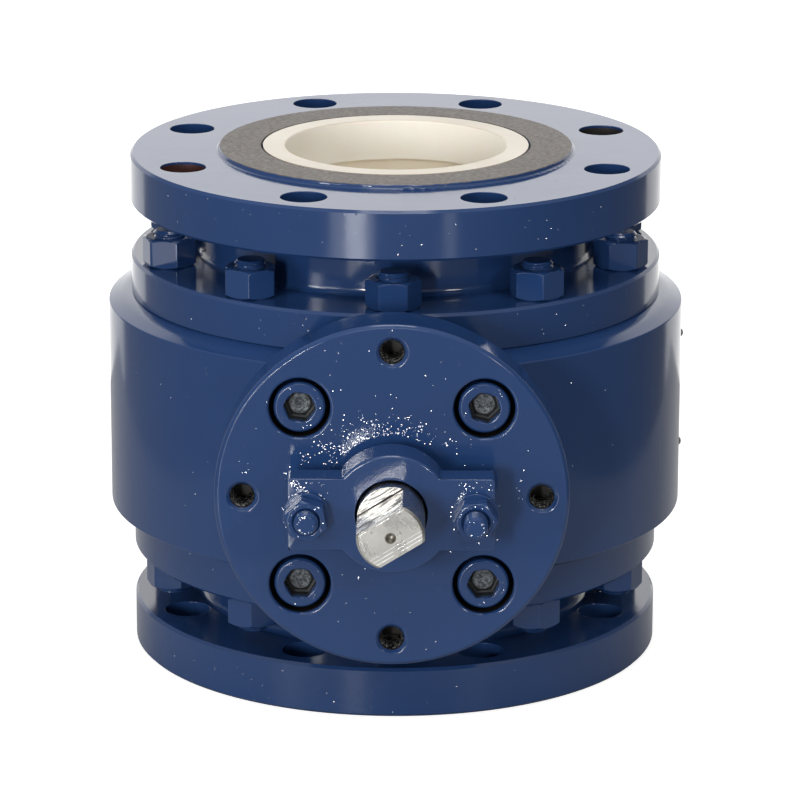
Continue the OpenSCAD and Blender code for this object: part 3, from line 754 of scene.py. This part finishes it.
def tapped_threads_piece():
    """Right-hand threads in the four tapped holes; crests stand inside the core-size holes."""
    pitch = 1.75 * MM
    low = -PAD_FACE - TAPPED_DEPTH + 0.4 * MM
    mouth = -PAD_FACE - 1.5 * MM
    root = TAPPED_CORE - 0.03 * MM
    crest = TAPPED_CORE - 0.62 * MM

    def radius_at(height, turn):
        run_in = min(max((mouth - height) / (0.8 * pitch), 0), 1)
        return root + (crest - root) * run_in * thread_share(height / pitch - turn)

    work = bmesh.new()
    for i in range(4):
        turned = Matrix.Rotation(math.radians(90 * i), 4, "Z") @ Matrix.Translation((TAPPED_CIRCLE, 0, 0))
        tube(work, STEM_FRAME @ turned, steps(low, mouth, pitch / STEPS_IN_PITCH), radius_at, around=40)
    new_piece("tapped_threads", work, oily_thread_material())


def socket_floors_piece():
    """Drilled and broached floors of the four socket screws."""
    socket_turn = 37
    around = 24
    # Share of the socket's radius, and height in millimetres, of a hexagonal ring and three round ones
    profile = ((0.84, 0.10), (0.70, 0.28), (0.42, 0.22), (0.10, 0.06))
    work = bmesh.new()
    for i in range(4):
        place = (STEM_FRAME @ Matrix.Rotation(math.radians(45 + 90 * i), 4, "Z")
                 @ Matrix.Translation((SCREW_CIRCLE, 0, SOCKET_FLOOR))
                 @ Matrix.Rotation(math.radians(socket_turn * i), 4, "Z"))
        rings = []
        for share, height in profile:
            ring = []
            for k in range(around):
                angle = 2 * math.pi * k / around
                outline = 0.9 if rings else math.cos(math.radians(30)) * hexagon(angle)
                point = on_circle(angle, SOCKET_RADIUS * share * outline, height * MM)
                ring.append(work.verts.new(place @ point))
            rings.append(ring)
        for first, second in zip(rings, rings[1:]):
            bridge(work, first, second)
        work.faces.new(rings[-1])
    new_piece("socket_floors", work, socket_floor_material())


def add_dome(work, place, radius, height):
    """A low round bump with its foot on the surface z = 0 of the placement."""
    around = 16
    foot = []
    waist = []
    for k in range(around):
        angle = 2 * math.pi * k / around
        foot.append(work.verts.new(place @ on_circle(angle, radius, -0.02 * MM)))
        waist.append(work.verts.new(place @ on_circle(angle, 0.62 * radius, 0.75 * height)))
    top = work.verts.new(place @ Vector((0, 0, height)))
    for k in range(around):
        after = (k + 1) % around
        work.faces.new((foot[k], foot[after], waist[after], waist[k]))
        work.faces.new((waist[k], waist[after], top))


PLATE_BACK = BODY_RADIUS + 0.02 * MM
PLATE_FRONT = BODY_RADIUS + 1.0 * MM
PLATE_START = math.radians(3)
PLATE_END = math.radians(42)


def nameplate_piece():
    """A blank plate on the body's right side, thinner at its two ends."""
    bevel = 0.25 * MM
    count = 40
    half = 28.5 * MM
    profile = ((PLATE_BACK, -half), (PLATE_FRONT - bevel, -half), (PLATE_FRONT, -half + bevel),
               (PLATE_FRONT, half - bevel), (PLATE_FRONT - bevel, half), (PLATE_BACK, half))
    work = bmesh.new()
    rows = []
    for k in range(count + 1):
        angle = PLATE_START + (PLATE_END - PLATE_START) * k / count
        thickness = 0.75 if k in (0, count) else 1.0
        row = []
        for radius, height in profile:
            point = on_circle(angle, PLATE_BACK + (radius - PLATE_BACK) * thickness, MIDDLE + height)
            row.append(work.verts.new(point))
        rows.append(row)
    for first, second in zip(rows, rows[1:]):
        for i in range(len(profile)):
            after = (i + 1) % len(profile)
            work.faces.new((first[i], second[i], second[after], first[after]))
    work.faces.new(rows[0])
    work.faces.new(rows[-1][::-1])
    new_piece("nameplate", work, PLATE)


def nameplate_screws_piece():
    """Four domed drive screws in the corners of the plate."""
    inset = math.radians(2)
    rise = 25.5 * MM
    work = bmesh.new()
    for angle in (PLATE_START + inset, PLATE_END - inset):
        for side in (-1, 1):
            turned = Matrix.Rotation(angle, 4, "Z") @ Matrix.Translation((PLATE_FRONT, 0, side * rise))
            place = Matrix.Translation((0, 0, MIDDLE)) @ turned @ Matrix.Rotation(math.pi / 2, 4, "Y")
            add_dome(work, place, radius=2.2 * MM, height=1.3 * MM)
    new_piece("nameplate_screws", work, PLATE, smooth=True)


# Specks and small runs in the paint, as geometry

# Directions about halfway between the photo's viewpoint and the studio lights, where wet-looking flecks shine
LIGHT_HALVES = [direction(-8.25, 11.5), direction(-23, 16), direction(17.5, 20), direction(-2, 33)]
FRONT = Vector((0, -1, 0))
UP = Vector((0, 0, 1))

# Groups of flecks: place right of the stem and above it, spread, all in millimetres, and their number
PAD_GROUPS = ((36, 27, 2.4, 9), (-14, -40, 3, 4), (53, 2, 1.6, 7), (49, -6, 2.0, 5), (-31, 33, 6, 14),
              (20, 42, 7, 8), (-58, 12, 3, 5), (-30, 22, 1.6, 10), (-26, 21.5, 1.3, 10),
              (-36.5, 17.5, 1.4, 9), (-44, 10, 1.6, 8), (1, 70.5, 1.0, 4), (24, 24, 1.8, 9), (12, 30, 2.6, 8))
GLAND_GROUPS = ((-39, 12, 1.8, 16), (-30, 11, 4, 10), (39, 12, 2, 10), (34, -12, 3, 5), (30, 9, 3, 8),
                (-38, -10, 3, 6), (36, 2, 6, 8), (-30, -3, 5, 8), (-40.5, 13, 0.9, 14), (-36, 10, 2.2, 18),
                (30, 12.5, 1.2, 8))
# Radii of the round sides of the flanges and of the body, in millimetres
FLANGE_SIDE = 117.75
BODY_SIDE = 128
# Lowest and highest place from the middle, radius, in millimetres, and number of the flecks on round sides
SIDE_GROUPS = ((-111, -93, FLANGE_SIDE, 70), (-40, 40, BODY_SIDE, 130), (93, 111, FLANGE_SIDE, 60),
               (52, 66, FLANGE_SIDE, 70), (-66, -52, FLANGE_SIDE, 30))


def near_a_hole(x, rise):
    """True by the mouth of a tapped hole or a counterbore; the place counts from the stem's axis."""
    tapped = min(math.hypot(abs(x) - TAPPED_CIRCLE, rise), math.hypot(x, abs(rise) - TAPPED_CIRCLE))
    screw = math.hypot(abs(x) - SCREW_REACH, abs(rise) - SCREW_REACH)
    return tapped < TAPPED_CORE + 2.5 * MM or screw < COUNTERBORE_RADIUS + 1.0 * MM


class Flecks:
    """Dried specks of paint, collected in one mesh and drawn from one seeded source."""

    def __init__(self, seed):
        self.chance = random.Random(seed)
        self.work = bmesh.new()

    def add(self, point, normal, smallest, largest):
        """A low bump with one flat facet, tilted toward a light where one is near; sizes in millimetres."""
        chance = self.chance
        size = chance.uniform(smallest, largest) * MM
        facet_share = 0.55
        near_enough = 0.8
        nearest = max(LIGHT_HALVES, key=lambda half: half.dot(normal))
        aim = nearest if nearest.dot(normal) > near_enough else normal
        wobble = Vector((chance.gauss(0, 0.03), chance.gauss(0, 0.03), chance.gauss(0, 0.03)))
        facet = (aim + wobble).normalized()
        turn = facet.to_track_quat("Z", "Y").to_matrix()
        base = normal.to_track_quat("Z", "Y").to_matrix()
        slope = math.sqrt(max(0.0, 1 - facet.dot(normal) ** 2))
        lift = facet_share * size * slope + 0.05 * size
        stretch = chance.uniform(0.8, 1.7)
        spin = chance.uniform(0, math.pi)
        sides = 7
        top = []
        foot = []
        for k in range(sides):
            angle = 2 * math.pi * k / sides + spin
            x = math.cos(angle) * stretch
            y = math.sin(angle)
            corner = turn @ Vector((facet_share * size * x, facet_share * size * y, 0))
            top.append(self.work.verts.new(point + normal * lift + corner))
            foot.append(self.work.verts.new(point + base @ Vector((size * x, size * y, -0.03 * MM))))
        self.work.faces.new(top)
        bridge(self.work, foot, top)

    def on_front(self, x, rise, out, smallest, largest):
        self.add(STEM_FRAME @ Vector((x, rise, out)), FRONT, smallest, largest)

    def on_pad(self, x, rise, smallest, largest):
        """A fleck on the actuator face, unless a hole is near."""
        if not near_a_hole(x, rise):
            self.on_front(x, rise, -PAD_FACE, smallest, largest)

    def over_pad(self):
        """A dense arc above the gland, where the spray built up, and a thin scatter over the whole face."""
        chance = self.chance
        in_arc = 330
        arc_start = 27.0
        arc_end = 41
        mean_width = 3.2
        scattered = 110
        rim = 72.5
        for _ in range(in_arc):
            angle = math.radians(chance.triangular(50, 172, 118))
            radius = (arc_start + chance.expovariate(1 / mean_width)) * MM
            if radius < arc_end * MM:
                self.on_pad(radius * math.cos(angle), radius * math.sin(angle), 0.12, 0.34)
        for _ in range(scattered):
            angle = chance.uniform(0, 2 * math.pi)
            radius = math.sqrt(chance.uniform(0.18, 0.93)) * rim * MM
            self.on_pad(radius * math.cos(angle), radius * math.sin(angle), 0.12, 0.30)

    def in_groups(self):
        """Groups on the actuator face and on the gland flange's wings."""
        chance = self.chance
        wing_root = 25 * MM
        wing_end = 41.8 * MM
        wing_edge = 14.6 * MM
        for x0, rise0, spread, count in PAD_GROUPS:
            for _ in range(count):
                x = chance.gauss(x0, spread) * MM
                self.on_pad(x, chance.gauss(rise0, spread) * MM, 0.18, 0.42)
        for x0, rise0, spread, count in GLAND_GROUPS:
            for _ in range(count):
                x = chance.gauss(x0, spread) * MM
                rise = chance.gauss(rise0, spread) * MM
                if wing_root < abs(x) < wing_end and abs(rise) < wing_edge:
                    self.on_front(x, rise, -GLAND_FACE, 0.18, 0.44)

    def round_fasteners(self):
        """Round the gland washers, nuts and stud ends, and along the edges of the screw heads."""
        chance = self.chance
        on_screw = 9
        for side, tip in GLAND_STUD_TIPS.items():
            for radius, out, count in ((10.2, -GLAND_FACE, 26), (6.9, NUT_TOP, 12), (3.4, tip, 22)):
                for _ in range(count):
                    angle = chance.uniform(0, 2 * math.pi)
                    reach = (radius + chance.gauss(0, 0.25)) * MM
                    x = side * GLAND_STUD_X + reach * math.cos(angle)
                    self.on_front(x, reach * math.sin(angle), out, 0.16, 0.34)
        for side, level in ((-1, -1), (-1, 1), (1, -1), (1, 1)):
            for _ in range(on_screw):
                angle = chance.uniform(0, 2 * math.pi)
                reach = chance.uniform(7.9, 9.4) * MM
                x = side * SCREW_REACH + reach * math.cos(angle)
                self.on_front(x, level * SCREW_REACH + reach * math.sin(angle), -HEAD_FACE, 0.14, 0.28)

    def round_flanges(self):
        """At the foot of the raised face, and on the round sides of the flanges and the body."""
        chance = self.chance
        for centre, spread, count in ((-31, 4.5, 22), (24, 5, 18), (0, 30, 30)):
            for _ in range(count):
                x = chance.gauss(centre, spread) * MM
                radius = RAISED_RADIUS + chance.uniform(1.8, 3.6) * MM
                if abs(x) < 70 * MM:
                    point = Vector((x, -math.sqrt(radius ** 2 - x ** 2), PIPE_FLANGE_FACE))
                    self.add(point, UP, 0.15, 0.4)
        # The mounting flange hides the body's side out to this angle from the front, in radians
        hidden = 0.62
        for low, high, radius, count in SIDE_GROUPS:
            for _ in range(count):
                angle = math.radians(chance.uniform(-178, -2))
                if radius == BODY_SIDE and abs(angle + math.pi / 2) < hidden:
                    continue
                normal = on_circle(angle, 1, 0)
                point = normal * radius * MM + Vector((0, 0, MIDDLE + chance.uniform(low, high) * MM))
                self.add(point, normal, 0.14, 0.32)


def nibs_piece():
    flecks = Flecks(seed=7)
    flecks.over_pad()
    flecks.in_groups()
    flecks.round_fasteners()
    flecks.round_flanges()
    new_piece("paint_nibs", flecks.work, nib_material())


studs_piece("top_stud_threads", "top_studs", 1)
studs_piece("bottom_stud_threads", "bottom_studs", -1)
gland_studs_piece()
gland_nuts_piece()
tapped_threads_piece()
socket_floors_piece()
nameplate_piece()
nameplate_screws_piece()
nibs_piece()


# Stage, light and camera


def plane(name, half, height, material):
    """A level square of the stage, with sides twice the half."""
    work = bmesh.new()
    corners = [work.verts.new((x * half, y * half, height)) for x, y in ((-1, -1), (1, -1), (1, 1), (-1, 1))]
    work.faces.new(corners)
    mesh = bpy.data.meshes.new(name)
    work.to_mesh(mesh)
    work.free()
    thing = add_object(name, mesh)
    dress(thing, material)
    return thing


def stage_material(name, value, glow=0.0, roughness=0.9):
    """Slightly clouded grey paper or cloth."""
    material, shader = new_material(name)
    cloth = shader.noise(shader.place(), 0.3, 2.0)
    shader.finish({"Base Color": shader.mix(cloth, grey(value), grey(value * 0.97)), "Roughness": roughness,
                   "Emission Color": grey(1), "Emission Strength": glow})
    return material


def make_stage():
    """A pale floor for the camera, and a darker table that the camera doesn't see but the valve reflects."""
    pale = stage_material("pale_floor", 0.93, glow=0.72)
    floor = plane("floor", half=6.0, height=-0.6 * MM, material=pale)
    floor.visible_glossy = False
    floor.visible_diffuse = False
    floor.visible_transmission = False
    darker = stage_material("table", 0.46, roughness=0.45)
    table = plane("table", half=0.42, height=-0.3 * MM, material=darker)
    table.visible_camera = False
    table.visible_shadow = False


def make_world():
    """Studio surroundings: a bright sweep behind, a dimmer room in front and a soft ceiling."""
    world = bpy.data.worlds.new("studio")
    bpy.context.scene.world = world
    shader = Shader(world)
    x, y, z = shader.split(shader.add("ShaderNodeTexCoord").outputs["Generated"])
    level = shader.length(x, y)
    backward = shader.math("DIVIDE", y, shader.math("MAXIMUM", level, 0.001))

    def within(wide, narrow, start=0.0, end=1.0):
        """Ramp between two angles in degrees from straight behind."""
        return shader.ramp(backward, math.cos(math.radians(wide)), math.cos(math.radians(narrow)), start, end)

    in_band = shader.times(shader.ramp(z, 0.66, 0.55), shader.ramp(z, -0.75, -0.6))
    sweep = shader.times(within(42, 39), in_band, within(19, 8, 0.88, 1.15))
    ceiling = shader.ramp(z, 0.62, 0.85, 0.0, 0.25)
    right_side = shader.ramp(x, 0.25, 0.95, 0.385, 0.155)
    left_side = shader.ramp(x, -0.95, -0.35, -0.10, 0.0)
    total = shader.plus(sweep, ceiling, shader.plus(right_side, left_side))
    seen = shader.add("ShaderNodeLightPath").outputs["Is Camera Ray"]
    white = shader.add("ShaderNodeBackground", {"Color": grey(1), "Strength": 1.2})
    around = shader.add("ShaderNodeBackground", {"Color": (1, 0.995, 0.985, 1), "Strength": total})
    both = shader.add("ShaderNodeMixShader", {0: seen, 1: around, 2: white})
    shader.add("ShaderNodeOutputWorld", {"Surface": both})


LIGHT_DISTANCE = 2.5
# Name, azimuth and elevation in degrees, width and height in metres, and radiance
LIGHTS = (
    ("key", -16.5, 6, 0.20, 0.58, 58),
    ("edge_left", -37, 9, 0.42, 0.24, 13),
    ("key_below", -16, -17, 0.34, 1.1, 5.2),
    ("key_below_wide", -17.5, -17, 0.80, 1.1, 1.9),
    ("overhead", -4, 50, 1.3, 0.9, 2.2),
    ("top", 0, 84, 0.8, 0.8, 7.4),
    ("left", -46, 15, 0.24, 1.05, 12.5),
    ("right", 35, 25, 0.28, 0.28, 28),
    ("right_below", 23, -14, 0.22, 1.0, 1.1),
)


def soft_box(name, azimuth, elevation, width, height, radiance):
    """A rectangle of light that faces the valve."""
    away = direction(azimuth, elevation)
    light = bpy.data.lights.new(name, "AREA")
    light.shape = "RECTANGLE"
    light.size = width
    light.size_y = height
    light.energy = radiance * math.pi * width * height
    thing = add_object(name, light)
    thing.location = Vector((0, 0, MIDDLE)) + LIGHT_DISTANCE * away
    thing.rotation_euler = away.to_track_quat("Z", "Y").to_euler()
    thing.visible_camera = False


# Camera fitted to the photograph: distance in metres, azimuth and elevation in degrees
CAMERA_DISTANCE = 2.038
CAMERA_AZIMUTH = 0.483
CAMERA_ELEVATION = 16.02
CAMERA_PITCH = math.radians(-0.1015)
CAMERA_ROLL = math.radians(0.132)
CAMERA_LENS = 203.48
CAMERA_SHIFT = 0.006


def make_camera():
    """Looks at the valve's middle, pitched and rolled a little."""
    away = direction(CAMERA_AZIMUTH, CAMERA_ELEVATION)
    forward = -away
    right = forward.cross(UP).normalized()
    up = right.cross(forward)
    forward_tilted = math.cos(CAMERA_PITCH) * forward + math.sin(CAMERA_PITCH) * up
    up_tilted = right.cross(forward_tilted)
    right_rolled = math.cos(CAMERA_ROLL) * right + math.sin(CAMERA_ROLL) * up_tilted
    up_rolled = right_rolled.cross(forward_tilted)
    data = bpy.data.cameras.new("camera")
    data.sensor_width = 36
    data.lens = CAMERA_LENS
    data.shift_x = CAMERA_SHIFT
    thing = add_object("camera", data)
    turn = Matrix((right_rolled, up_rolled, -forward_tilted)).transposed()
    place = Vector((0, 0, MIDDLE)) + CAMERA_DISTANCE * away
    thing.matrix_world = Matrix.Translation(place) @ turn.to_4x4()
    bpy.context.scene.camera = thing


make_stage()
make_world()
for light in LIGHTS:
    soft_box(*light)
make_camera()
bpy.context.scene.view_settings.view_transform = "Standard"
